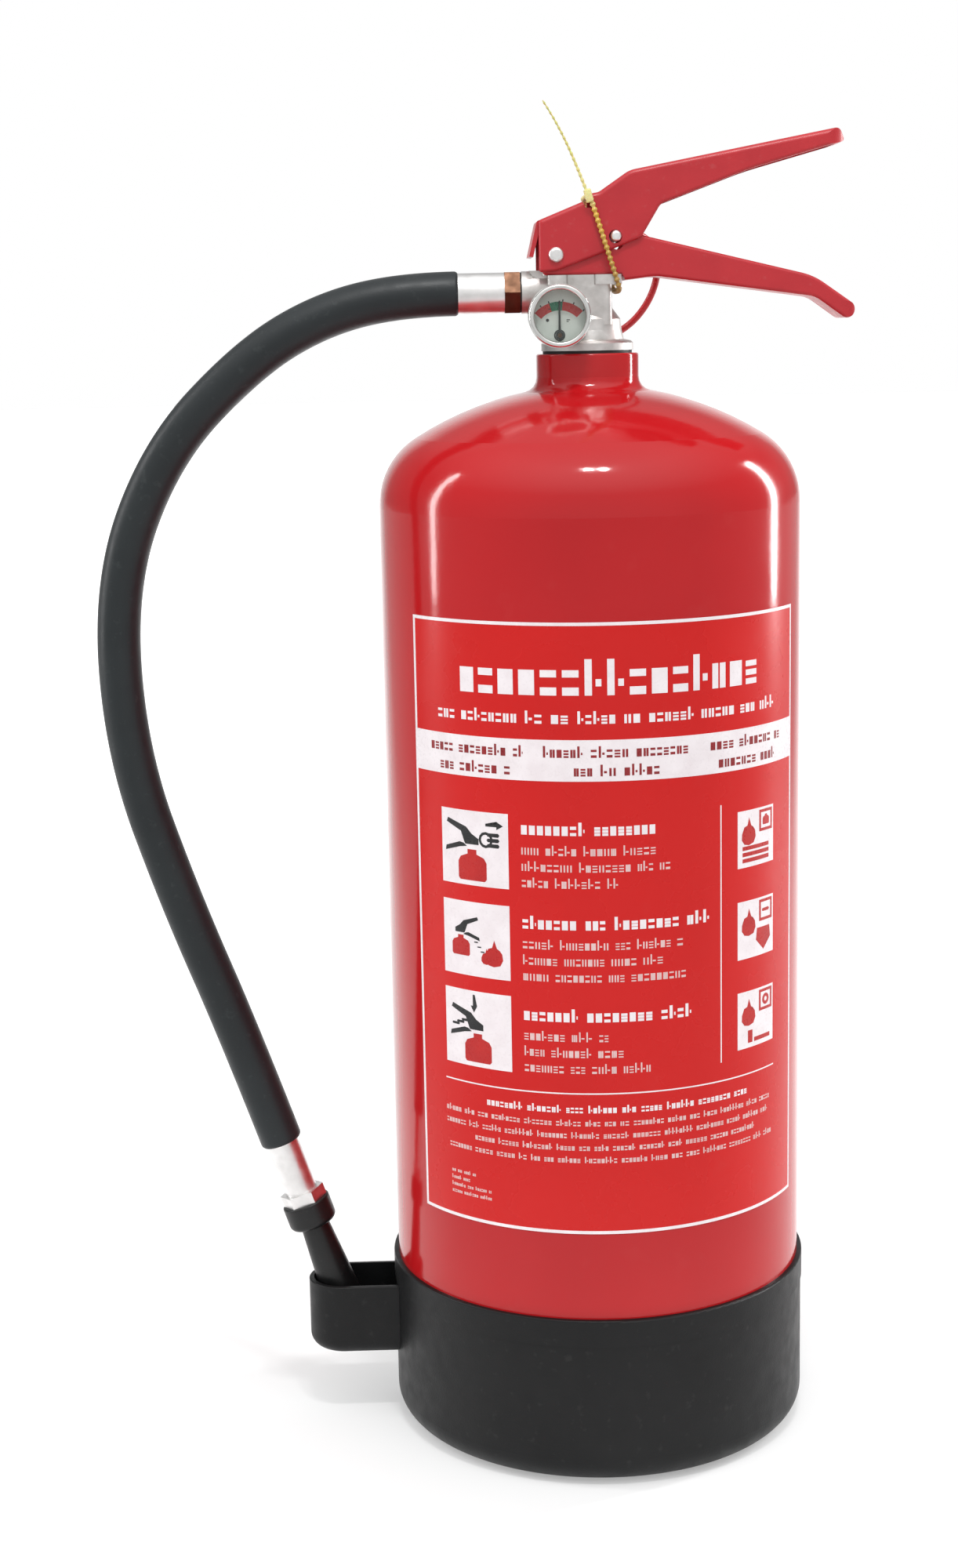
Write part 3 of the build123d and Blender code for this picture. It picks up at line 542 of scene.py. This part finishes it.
for high, low in panels:
    white.append(rectangle(PANEL_LEFT, PANEL_RIGHT, low, high))
DIVIDER, DIVIDER_HALF = arc(31.5), 0.25
white.append(rectangle(DIVIDER - DIVIDER_HALF, DIVIDER + DIVIDER_HALF, 161, 258))
white.append(rectangle(arc(-48), arc(53), 153.7, 154.2))

# Beside each picture, one heading and three smaller lines
TEXT_START = -22.7
HEADING_HEIGHT, LINE_HEIGHT = 4.9, 3.7
FIRST_LINE_DROP, LINE_PITCH = 7.4, 6.0
rows = (
    (250.2, 12.8, (12.8, 16.7, 2.8)),
    (215.4, 28.2, (20.3, 14.6, 21.0)),
    (181.0, 22.7, (-0.1, 3.9, 11.0)),
)
soft = []
for heading_z, heading_stop, line_stops in rows:
    white += words(TEXT_START, heading_stop, heading_z, HEADING_HEIGHT, 0.24)
    for count, stop in enumerate(line_stops):
        line_z = heading_z - FIRST_LINE_DROP - LINE_PITCH * count
        soft += words(TEXT_START, stop, line_z, LINE_HEIGHT, 0.15)

# Below the line: one heading, four small lines and a block of four tiny ones
white += words(-34, 41, 146.6, 2.9, 0.22)
for count, (start, stop) in enumerate(((-48, 51), (-48, 50), (-38, 44), (-47, 52))):
    soft += words(start, stop, 141.6 - 4.7 * count, 2.4, 0.2)
for count, stop in enumerate((-38, -40, -33, -33)):
    soft += words(-46.5, stop, 117.5 - 2.7 * count, 1.5, 0.24)
printed("label_print_white", white, on_label, 0.05, white_ink)
printed("label_print_small", soft, on_label, 0.05, soft_white_ink)

# On the white band, three columns of two lines
BAND_UPPER_Z, BAND_LOWER_Z, BAND_HEIGHT = 278.6, 271.9, 4.2
dark = []
for start, stop, narrow_start, narrow_stop in (
    (-50.9, -21.5, -47.5, -25.0), (-16.5, 21.9, -8.6, 14.0), (28.2, 56.1, 30.8, 53.2),
):
    dark += words(start, stop, BAND_UPPER_Z, BAND_HEIGHT, BOLD)
    dark += words(narrow_start, narrow_stop, BAND_LOWER_Z, BAND_HEIGHT, BOLD)
printed("label_print_dark", dark, on_label, 0.08, dark_red_ink)

# Pictures: a tank with its handles, a flame, arrows and fingers
bottle = [
    (-5.5, -12.5), (5.5, -12.5), (6.3, -11.6), (6.3, -5.6), (5.2, -3.8), (2.0, -2.6), (2.0, -0.9),
    (-2.0, -0.9), (-2.0, -2.6), (-5.2, -3.8), (-6.3, -5.6), (-6.3, -11.6),
]
upper_lever = [
    (-3.2, 0.2), (-3.2, 2.2), (-0.4, 3.8), (1.8, 6.0), (9.6, 8.4), (10.2, 7.0), (4.0, 4.4),
    (2.6, 0.9), (2.2, 0.2),
]
lower_lever = [(1.6, -0.5), (2.9, 0.4), (4.6, 0.7), (10.6, -1.2), (10.9, -2.8), (4.6, -1.0)]
flame = [
    (0, -6), (3.2, -5.2), (4.6, -2.6), (4.2, 0.2), (2.9, 1.8), (2.9, -0.6), (1.6, 2.6), (0.2, 6.2),
    (-0.9, 2.8), (-2.2, 0.4), (-2.9, 2.2), (-4.3, -0.8), (-4.4, -3.4), (-2.8, -5.4),
]
arrow = [
    (-4.5, -0.6), (1.2, -0.6), (1.2, -1.9), (4.5, 0.0), (1.2, 1.9), (1.2, 0.6), (-4.5, 0.6),
]
arrow_down = [(y, -x) for x, y in arrow]
finger = [(-2.6, -0.7), (2.2, -0.8), (2.8, 0.0), (2.2, 0.8), (-2.6, 0.7), (-3.1, 0.0)]
droplet = [(0, -5.5), (4.6, -1.2), (4.0, 3.2), (-4.0, 3.2), (-4.6, -1.2)]
red, black = [], []
centre = (PICTURE_LEFT + PICTURE_RIGHT) / 2
pull, aim, squeeze = [(high + low) / 2 for high, low in pictures]

# Pull the pin
red.append(placed(bottle, centre - 0.5, pull + 0.4))
black.append(placed(upper_lever, centre - 1, pull + 1.2, 1.1, -1))
black.append(placed(lower_lever, centre - 1, pull + 1.2, 1.1, -1))
black += sector(centre + 5.6, pull + 3.6, 2.0, 3.0, 0, 360, 30)
black.append(placed(arrow, centre + 9.2, pull + 9.2, 0.8))
for count in range(3):
    black.append(placed(finger, centre + 8.8, pull + 5.6 - 2.0 * count, 0.9))

# Aim low at the fire
red.append(placed(bottle, centre - 6.5, aim + 1.6, 0.66))
red.append(placed(flame, centre + 8.2, aim - 4.6, 0.82))
red.append(placed(flame, centre + 5.0, aim - 6.0, 0.5))
black.append(placed(upper_lever, centre - 6.5, aim + 1.8, 0.8))
black.append(placed(lower_lever, centre - 6.5, aim + 1.8, 0.8))
for count in range(3):
    black.append(placed(finger, centre + 0.6 + 1.4 * count, aim - 1.0 - 1.7 * count, 0.3))

# Squeeze the handles
red.append(placed(bottle, centre + 0.5, squeeze - 0.9, 0.95))
black.append(placed(upper_lever, centre - 0.5, squeeze - 0.6, 1.1, -1))
black.append(placed(lower_lever, centre - 0.5, squeeze - 0.6, 1.1, -1))
black.append(placed(arrow_down, centre - 1.0, squeeze + 9.6, 0.75))
for count in range(4):
    black.append(placed(finger, centre - 9.6 + 2.3 * count, squeeze + 1.0 + 0.9 * count, 0.62))

# Panels: a flame and a small framed mark, over logs, a droplet or a tap
panel_centre = (PANEL_LEFT + PANEL_RIGHT) / 2
MARK_X = PANEL_RIGHT - 5.15
for index, (high, low) in enumerate(panels):
    middle = (high + low) / 2
    red += border(PANEL_RIGHT - 9.4, PANEL_RIGHT - 0.9, high - 9.0, high - 0.9, 1.1)
    red.append(placed(flame, panel_centre - 4.8, middle + 2.6, 0.85))
    if index == 0:
        for count in range(3):
            log = low + 1.8 + 2.3 * count
            red.append(rectangle(panel_centre - 8.2, panel_centre + 7.4, log, log + 1.5))
        red.append(placed(bottle, MARK_X, high - 2.6, 0.33))
    elif index == 1:
        red.append(placed(droplet, panel_centre + 4.0, middle - 3.6))
        red.append(placed(finger, MARK_X, high - 5.0, 0.8))
    else:
        red.append(rectangle(panel_centre - 1.6, panel_centre + 8.4, low + 1.8, low + 3.4))
        red.append(rectangle(panel_centre - 5.2, panel_centre - 2.6, low + 1.8, low + 6.6))
        red += sector(MARK_X, high - 5.0, 0.9, 2.2, 0, 360, 30)
printed("label_print_red", red, on_label, 0.08, red_ink)
printed("label_print_black", black, on_label, 0.10, black_ink)

# ---- the gauge's dial ----
gauge_low, gauge_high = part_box("gauge_dial")
dial_x, dial_z = (gauge_low.x + gauge_high.x) / 2, (gauge_low.z + gauge_high.z) / 2


def on_dial(u, v, lift):
    return Vector((dial_x + u * MM, gauge_low.y - lift * MM, dial_z + v * MM))


# The scale is centred on the needle's pivot, which stands below the middle of the dial
spindle_low, spindle_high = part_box("gauge_spindle")
pivot_v = (spindle_low.z + spindle_high.z) / 2 / MM - dial_z / MM
SCALE_INNER, SCALE_OUTER, TICK_OUTER, TICK_HALF = 9.0, 12.2, 13.0, 1.0
dial_red = sector(0, pivot_v, SCALE_INNER, SCALE_OUTER, -48, -18)
dial_red += sector(0, pivot_v, SCALE_INNER, SCALE_OUTER, 6, 45)
dial_green = sector(0, pivot_v, SCALE_INNER, SCALE_OUTER, -18, 6)
dial_black = sector(-4.4, -1.5, 0, 0.6, 0, 360, 30) + sector(0, pivot_v, 1.6, 2.1, 0, 360, 20)
for turn in (-48, -33, -18, 6, 25, 45):
    dial_black += sector(0, pivot_v, SCALE_OUTER, TICK_OUTER, turn - TICK_HALF, turn + TICK_HALF)
dial_black += [
    rectangle(2.6, 3.9, -1.6, -1.3), rectangle(2.6, 3.4, -2.2, -1.9),
    rectangle(-4.2, -2.6, 2.4, 2.7),
]
printed("dial_red", dial_red, on_dial, 0.04, red_ink)
printed("dial_green", dial_green, on_dial, 0.04, green_ink)
printed("dial_black", dial_black, on_dial, 0.06, black_ink)

# ---- tamper strap: beaded loop, lock block and a thin tail that stands up ----
strap_y = 14.3
strap_top = (0.1, -strap_y, 476.4)
strap_loop = [
    Vector(point) * MM
    for point in (
        (1.0, -strap_y, 475.5), (4.5, -strap_y - 0.1, 464.5), (8.0, -strap_y - 0.1, 453.5),
        (10.9, -strap_y, 444.4), (11.3, -11.8, 442.4), (11.3, 0, 442.2), (11.3, 11.8, 442.4),
        (10.9, strap_y, 444.4), (6.0, strap_y, 459.0), (0.1, strap_y, 476.4), (0.1, 12.0, 476.8),
        (0.1, -12.0, 476.8), strap_top,
    )
]
strap_tail = [
    Vector(point) * MM
    for point in (
        strap_top, (-2.6, -strap_y - 0.2, 483.4), (-7.2, -strap_y - 0.5, 494.5),
        (-12.8, -strap_y - 1.1, 505.2), (-16.4, -strap_y - 1.5, 510.6),
    )
]
BEAD = 2.05 * MM
TAPER_LENGTH = 42 * MM


def beaded(distance):
    return (0.86 + 0.24 * math.cos(2 * math.pi * distance / BEAD)) * MM


def tail_radius(distance):
    taper = max(0.0, 1 - distance / TAPER_LENGTH)
    return (0.28 + 0.34 * taper + 0.12 * math.cos(2 * math.pi * distance / BEAD)) * MM


bm = bmesh.new()
tube_rings(bm, evenly(spline_points(strap_loop, 16), 0.25 * MM), beaded, 14)
tube_rings(bm, evenly(spline_points(strap_tail, 16), 0.3 * MM), tail_radius, 10)
block = bmesh.ops.create_cube(bm, size=1)["verts"]
block_place = Vector((0.1, -strap_y - 0.2, 476.6)) * MM
BLOCK_X, BLOCK_Y, BLOCK_Z = 2.7, 3.0, 4.9
lean = Matrix.Rotation(math.radians(-16), 4, "Y")
for vertex in block:
    spot = Vector((vertex.co.x * BLOCK_X, vertex.co.y * BLOCK_Y, vertex.co.z * BLOCK_Z)) * MM
    vertex.co = lean @ spot + block_place
edges = {edge for vertex in block for edge in vertex.link_edges}
bmesh.ops.bevel(bm, geom=list(edges), offset=0.55 * MM, segments=3, affect="EDGES", profile=0.5)
strap = smooth_mesh("tamper_strap", bm, 40)
strap.data.materials.append(strap_plastic.material)
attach(strap, "extinguisher")
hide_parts("tamper_seal")

# ---- the valve's spring, with closed end coils, built at one length: nothing here shortens it as the stem goes down ----
spring_low, spring_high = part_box("valve_spring")
spring_wire = 0.45 * MM
spring_reach = (spring_high.x - spring_low.x) / 2 - spring_wire
SPRING_TURNS, TURN_STEPS = 8, 36
OPEN_TURNS = SPRING_TURNS - 2
closed_rise = 2.1 * spring_wire
open_rise = spring_high.z - spring_low.z - 2 * spring_wire - 2 * closed_rise
coil = []
for count in range(SPRING_TURNS * TURN_STEPS + 1):
    turns = count / TURN_STEPS
    angle = 2 * math.pi * count / TURN_STEPS + math.pi / 2
    share = min(max((turns - 1) / OPEN_TURNS, 0.0), 1.0)
    closed_turns = turns - share * OPEN_TURNS
    height = spring_low.z + spring_wire + closed_rise * closed_turns + open_rise * share
    coil.append(Vector((spring_reach * math.cos(angle), spring_reach * math.sin(angle), height)))
bm = bmesh.new()
tube_rings(bm, coil, lambda distance: spring_wire, 12)
spring = smooth_mesh("spring_coil", bm, 50)
spring.data.materials.append(spring_steel.material)
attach(spring, "extinguisher")
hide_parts("valve_spring")
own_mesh(spring)

# ---- studio ----
FLOOR_RADIUS, FLOOR_GAP = 14, 0.0003
floor_mesh = bpy.data.meshes.new("studio_floor")
bm = bmesh.new()
bmesh.ops.create_circle(bm, cap_ends=True, segments=96, radius=FLOOR_RADIUS)
bm.to_mesh(floor_mesh)
bm.free()
floor = linked("studio_floor", floor_mesh)
floor.location.z = -FLOOR_GAP
floor_finish = Finish("floor_finish")
floor_finish.gloss(floor_finish.noise(15, 5.0), 0.7, 0.8)
floor_finish.bump(floor_finish.noise(300, 2.0), 0.00001)
floor_mesh.materials.append(floor_finish.material)


def arithmetic(nodes, links, operation, first, second):
    """One arithmetic node. Either value may be a number or another node's output."""
    node = nodes.new("ShaderNodeMath")
    node.operation = operation
    for socket, value in zip(node.inputs, (first, second)):
        if isinstance(value, (int, float)):
            socket.default_value = value
        else:
            links.new(value, socket)
    return node.outputs["Value"]


# The floor glows in a soft-edged fan that opens away from the camera, so that it meets the
# white behind it without a line. It is a little darker in front of the object and at its sides.
CAMERA_BACK, CAMERA_SIDE, FAN_AIM = 1.0, 0.065, 0.0225
FAN_FULL, FAN_END = 0.215, 0.46
axes = floor_finish.nodes.new("ShaderNodeSeparateXYZ")
floor_finish.links.new(floor_finish.place, axes.inputs["Vector"])
tools = (floor_finish.nodes, floor_finish.links)
away = arithmetic(*tools, "ADD", axes.outputs["Y"], CAMERA_BACK)
sideways = arithmetic(*tools, "ADD", axes.outputs["X"], CAMERA_SIDE)
slope = arithmetic(*tools, "DIVIDE", sideways, away)
aside = arithmetic(*tools, "ABSOLUTE", arithmetic(*tools, "SUBTRACT", slope, FAN_AIM), 0.0)
fan = floor_finish.spread(aside, 1.0, 0.0, FAN_FULL, FAN_END)
behind = floor_finish.spread(axes.outputs["Y"], 0.0, 1.0, -0.5, -0.15)
seen = arithmetic(*tools, "MULTIPLY", fan, behind)
glow = floor_finish.spread(axes.outputs["Y"], 0.25, 0.75, 0.1, 1.4)
strength = arithmetic(*tools, "ADD", arithmetic(*tools, "MULTIPLY", seen, glow), 0.08)
shade = floor_finish.ramp(seen, ((0.0, (0.54, 0.54, 0.54)), (1.0, (0.62, 0.62, 0.62))))
floor_finish.colour(shade)
floor_finish.bsdf.inputs["Emission Color"].default_value = (1, 1, 1, 1)
floor_finish.links.new(strength, floor_finish.bsdf.inputs["Emission Strength"])

# The world is white only straight behind the object. It is light in front, dim at the sides
# and has a bright ceiling.
WALLS = ((0.0, 0.88), (0.5, 0.42), (0.7, 0.24), (0.93, 0.24), (0.978, 1.0))
CEILING_START, CEILING_FULL, CEILING_LIGHT = 0.45, 0.90, 2.0
world = bpy.data.worlds.new("studio")
scene.world = world
world.use_nodes = True
sky_nodes, sky_links = world.node_tree.nodes, world.node_tree.links
backdrop = sky_nodes["Background"]
direction = sky_nodes.new("ShaderNodeTexCoord")
split = sky_nodes.new("ShaderNodeSeparateXYZ")
sky = sky_nodes.new("ShaderNodeValToRGB")
sky_links.new(direction.outputs["Generated"], split.inputs["Vector"])
forwards = arithmetic(sky_nodes, sky_links, "MULTIPLY_ADD", split.outputs["Y"], 0.5)
forwards.node.inputs[2].default_value = 0.5
sky_links.new(forwards, sky.inputs["Fac"])
for position in (0.5, 0.7, 0.9):
    sky.color_ramp.elements.new(position)
for stop, (position, light) in zip(sky.color_ramp.elements, WALLS):
    stop.position = position
    stop.color = (light, light, light, 1)
ceiling = sky_nodes.new("ShaderNodeMapRange")
ceiling.inputs["From Min"].default_value = CEILING_START
ceiling.inputs["From Max"].default_value = CEILING_FULL
ceiling.inputs["To Max"].default_value = CEILING_LIGHT
sky_links.new(split.outputs["Z"], ceiling.inputs["Value"])
sky_links.new(sky.outputs["Color"], backdrop.inputs["Color"])
sky_strength = arithmetic(sky_nodes, sky_links, "ADD", ceiling.outputs["Result"], 1.0)
sky_links.new(sky_strength, backdrop.inputs["Strength"])


def softbox(name, place, target, width, height, power):
    lamp = bpy.data.lights.new(name, "AREA")
    lamp.shape = "RECTANGLE"
    lamp.size, lamp.size_y = width, height
    lamp.energy = power
    box = linked(name, lamp)
    box.location = place
    box.rotation_euler = (Vector(target) - Vector(place)).to_track_quat("-Z", "Y").to_euler()


# Name, place, height of the target on the tank's axis, width, height and watts
LAMPS = (
    ("softbox_left", (-1.25, 0.10, 0.70), 0.25, 0.09, 1.1, 5.5),
    ("softbox_right", (1.25, 0.50, 0.65), 0.25, 0.14, 1.0, 12),
    ("lamp_left", (-0.05, -0.66, 1.6), 0.4, 0.10, 0.07, 3.0),
    ("lamp_right", (0.10, -0.66, 1.6), 0.4, 0.10, 0.07, 3.5),
)
for lamp_name, lamp_place, target_height, lamp_width, lamp_height, watts in LAMPS:
    softbox(lamp_name, lamp_place, (0, 0, target_height), lamp_width, lamp_height, watts)
